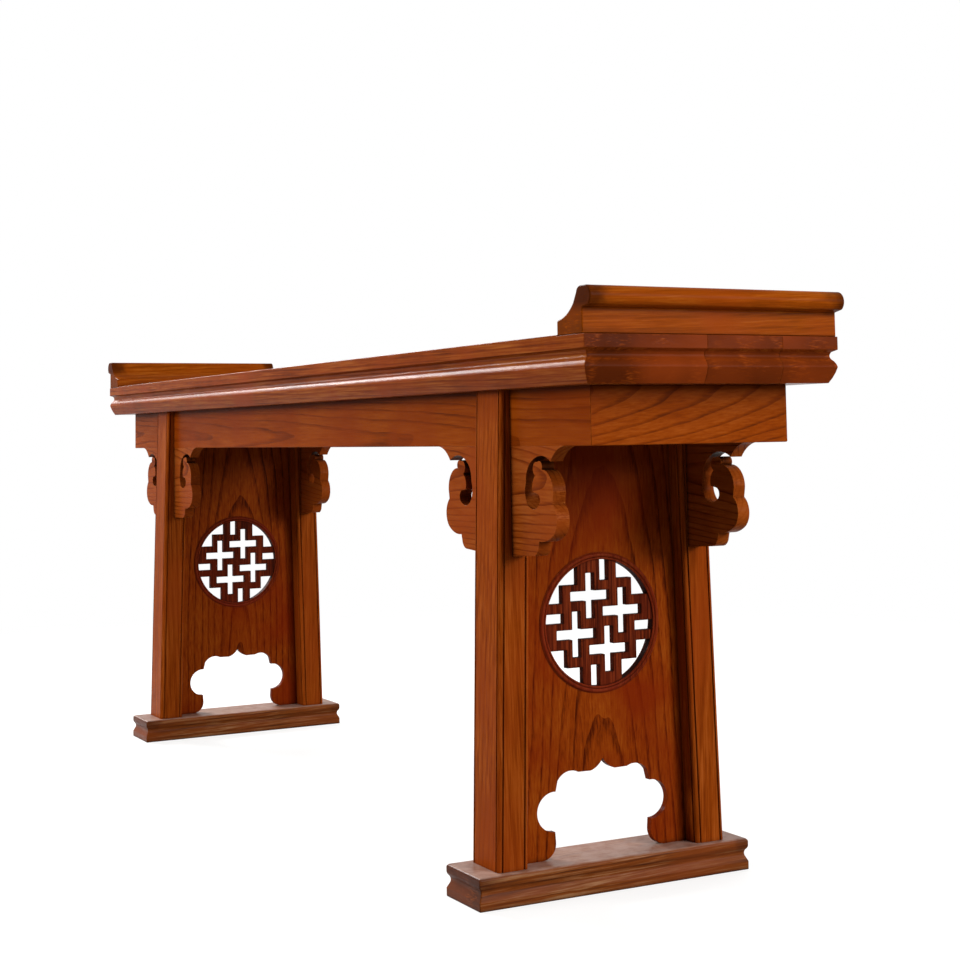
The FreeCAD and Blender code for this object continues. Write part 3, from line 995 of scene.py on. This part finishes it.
# The softboxes light the ends and the long sides. The windows stand past the left end, where the
# rounded edge of the top mirrors them as one line of light. The front and the rear softbox aren't
# mirrored, because from behind or in front they would turn the whole top white.
SOFTBOXES = (
    Softbox("end_softbox", (4100.0, 900.0, 3000.0), (1600.0, 1600.0), 75.0),
    Softbox("side_softbox", (6500.0, 3400.0, 2300.0), (2000.0, 2000.0), 310.0),
    Softbox("front_softbox", (-200.0, -4600.0, 2300.0), (2000.0, 2000.0), 172.0, mirrored=False),
    Softbox("near_window", (-7400.0, -1970.0, 4750.0), (3400.0, 2400.0), 1000.0),
    Softbox("far_window", (-7400.0, -1140.0, 3090.0), (1900.0, 1500.0), 75.0),
    Softbox("rear_softbox", (-1800.0, 4200.0, 2600.0), (2400.0, 2400.0), 110.0, mirrored=False),
)


@dataclass
class Studio:
    """Pale floor, white surroundings, soft lamps and the camera.

    Args:
        floor_mm: Half the width of the floor.
        floor_cells: Cells along each side of the floor.
        fade_from_mm: Distance from the table at which the floor starts to turn white.
        fade_to_mm: Distance at which it is white.
        surround: Strength of the light from all round.
        floor_glow: How much brighter the floor is to the eye than its paint.
        lamps: The lamps.
        aim_mm: Place that the lamps face.
        camera_mm: Place of the camera.
        yaw_deg: Turn of its view from -X towards +Y.
        pitch_deg: Rise of its view.
        roll_deg: Turn about its view.
        focal_px: Focal length in pixels of the frame.
        centre_px: Where its axis meets the frame, from the upper left corner.
        frame_px: Width and height of the frame.
        sensor_mm: Width of the camera's sensor.
        clip_mm: Distance past which the camera sees nothing.
    """

    floor_mm: float = 30000.0
    floor_cells: int = 8
    fade_from_mm: float = 1300.0
    fade_to_mm: float = 3500.0
    surround: float = 0.09
    floor_glow: float = 0.78
    lamps: tuple[Softbox, ...] = SOFTBOXES
    aim_mm: Triple = (0.0, 0.0, 500.0)
    camera_mm: Triple = (3291.09, -1465.631, 717.311)
    yaw_deg: float = 28.1595
    pitch_deg: float = 4.4864
    roll_deg: float = -0.973
    focal_px: float = 1724.929
    centre_px: tuple[float, float] = (500.0, 300.0)
    frame_px: float = 960.0
    sensor_mm: float = 36.0
    clip_mm: float = 100000.0

    def build(self) -> None:
        """Lay the floor, set the light and the camera."""
        self._floor().materials.append(self._floor_paint())
        self._surroundings()
        for lamp in self.lamps:
            lamp.hang(self.aim_mm)
        self._camera()

    def _seen_white(self, tree: bpy.types.NodeTree) -> bpy.types.Node:
        """Tell the eye and its reflections from the light on the table.

        Args:
            tree: Node tree of the material or the world.

        Returns:
            The node that is 1 for camera, glossy and transmitted rays.
        """
        path = add_node(tree, "LightPath")
        seen = add_node(
            tree, "Math", {"operation": "MAXIMUM"},
            {0: (path, "Is Camera Ray"), 1: (path, "Is Glossy Ray")},
        )
        return add_node(
            tree, "Math", {"operation": "MAXIMUM"},
            {0: (seen, 0), 1: (path, "Is Transmission Ray")},
        )

    def _floor(self) -> bpy.types.Mesh:
        """Lay a flat grid: each point is a pair of even steps along X and Y, at height 0.

        Returns:
            The mesh of the floor.
        """
        steps = np.linspace(-self.floor_mm, self.floor_mm, self.floor_cells + 1) * MM
        x, y = np.meshgrid(steps, steps, indexing="ij")
        places = np.stack([x, y, np.zeros_like(x)], axis=-1).reshape(-1, 3)
        cell = np.arange(steps.size * steps.size).reshape(steps.size, steps.size)
        faces = np.stack([cell[:-1, :-1], cell[1:, :-1], cell[1:, 1:], cell[:-1, 1:]], axis=-1)
        mesh = bpy.data.meshes.new("studio_floor")
        mesh.from_pydata(places.tolist(), [], faces.reshape(-1, 4).tolist())
        floor = bpy.data.objects.new("studio_floor", mesh)
        bpy.context.scene.collection.objects.link(floor)
        return mesh

    def _floor_paint(self) -> bpy.types.Material:
        """Matt white paint, which gives the eye a soft shadow that fades into white.

        Returns:
            The material of the floor.
        """
        material = bpy.data.materials.new("matt_white_painted_floor")
        material.use_nodes = True
        tree = material.node_tree
        tree.nodes.clear()
        surface = add_node(tree, "TexCoord")
        far = add_node(tree, "VectorMath", {"operation": "LENGTH"}, {0: (surface, "Object")})
        fade = add_node(
            tree, "MapRange",
            {"interpolation_type": "SMOOTHSTEP", "From Min": self.fade_from_mm * MM,
             "From Max": self.fade_to_mm * MM},
            {"Value": (far, "Value")},
        )
        paint = add_node(
            tree, "BsdfPrincipled",
            {"Base Color": linear(FLOOR_PAINT), "Roughness": 0.6, "Specular IOR Level": 0.2},
        )
        seen = self._seen_white(tree)
        lift = add_node(
            tree, "Math", {"operation": "MULTIPLY", 1: self.floor_glow}, {0: (seen, 0)}
        )
        raised = add_node(tree, "Emission", links={"Strength": (lift, 0)})
        lifted = add_node(tree, "AddShader", links={0: (paint, 0), 1: (raised, 0)})
        glow = add_node(tree, "Emission", {"Color": linear(WHITE), "Strength": 1.0})
        white = add_node(
            tree, "Math", {"operation": "MULTIPLY"}, {0: (fade, 0), 1: (seen, 0)}
        )
        mixed = add_node(tree, "MixShader", links={0: (white, 0), 1: (lifted, 0), 2: (glow, 0)})
        add_node(tree, "OutputMaterial", links={"Surface": (mixed, 0)})
        return material

    def _surroundings(self) -> None:
        """White all round to the eye, and a plain level of light on the table."""
        world = bpy.data.worlds.new("white_studio")
        bpy.context.scene.world = world
        world.use_nodes = True
        tree = world.node_tree
        tree.nodes.clear()
        level = add_node(
            tree, "MapRange", {"To Min": self.surround, "To Max": 1.0},
            {"Value": (self._seen_white(tree), 0)},
        )
        light = add_node(
            tree, "Background", {"Color": linear(WHITE)}, {"Strength": (level, 0)}
        )
        add_node(tree, "OutputWorld", links={"Surface": (light, 0)})

    def _camera(self) -> None:
        """Set the camera by its turn, rise and roll.

        The view runs along -X turned by the yaw and raised by the pitch. Right is the view
        crossed with up, and both are turned about the view by the roll.
        """
        yaw, pitch, roll = (math.radians(a) for a in (self.yaw_deg, self.pitch_deg, self.roll_deg))
        view = Vector((
            -math.cos(yaw) * math.cos(pitch), math.sin(yaw) * math.cos(pitch), math.sin(pitch)
        ))
        right = view.cross(Vector((0, 0, 1))).normalized()
        up = right.cross(view)
        turned_right = right * math.cos(roll) + up * math.sin(roll)
        turned_up = up * math.cos(roll) - right * math.sin(roll)
        lens = bpy.data.cameras.new("photo_view")
        lens.sensor_width = self.sensor_mm
        lens.lens = self.focal_px / self.frame_px * self.sensor_mm
        lens.shift_x = (self.frame_px / 2 - self.centre_px[0]) / self.frame_px
        lens.shift_y = (self.centre_px[1] - self.frame_px / 2) / self.frame_px
        lens.clip_end = self.clip_mm * MM
        camera = bpy.data.objects.new("photo_view", lens)
        turn = Matrix((turned_right, turned_up, -view)).transposed().to_4x4()
        camera.matrix_world = Matrix.Translation(Vector(self.camera_mm) * MM) @ turn
        bpy.context.scene.collection.objects.link(camera)
        bpy.context.scene.camera = camera


def main() -> None:
    """Build the table and the studio."""
    logging.basicConfig(level=logging.INFO, format="%(name)s: %(message)s")
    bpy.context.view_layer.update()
    bpy.context.scene.view_settings.view_transform = "Standard"
    Top().build()
    Flanges().build()
    Aprons().build()
    EndFrame(side=Side.LEFT).build()
    EndFrame(side=Side.RIGHT).build()
    Studio().build()


if __name__ == "__main__":
    main()
